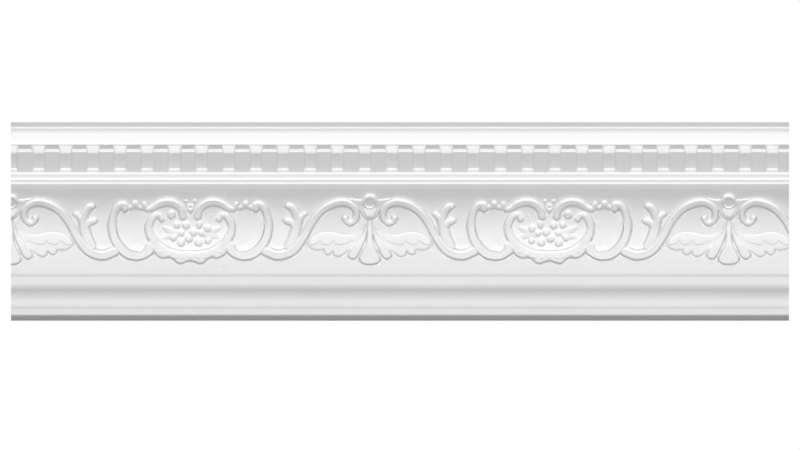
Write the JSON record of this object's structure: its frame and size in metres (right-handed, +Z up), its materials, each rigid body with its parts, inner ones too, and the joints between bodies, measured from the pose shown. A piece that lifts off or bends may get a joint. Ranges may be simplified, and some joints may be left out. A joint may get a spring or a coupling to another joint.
{
  "type": "ceiling moulding",
  "caption": "Straight length of ceiling cornice with a dentil course over a cove of scrolls, palmettes and fruit, cut square at both ends.",
  "frame": {"origin": "middle of the flat strip that is fixed to the wall, half way along the length", "axes": "+X along the wall, +Y into the wall, -Y out into the room, +Z up to the ceiling"},
  "size_m": [0.778, 0.0905, 0.1984],
  "materials": {
    "matte_white": "smooth matte white primer on cast rigid foam"
  },
  "bodies": {
    "root": {"ceiling_moulding": "matte_white"}
  },
  "joints": []
}
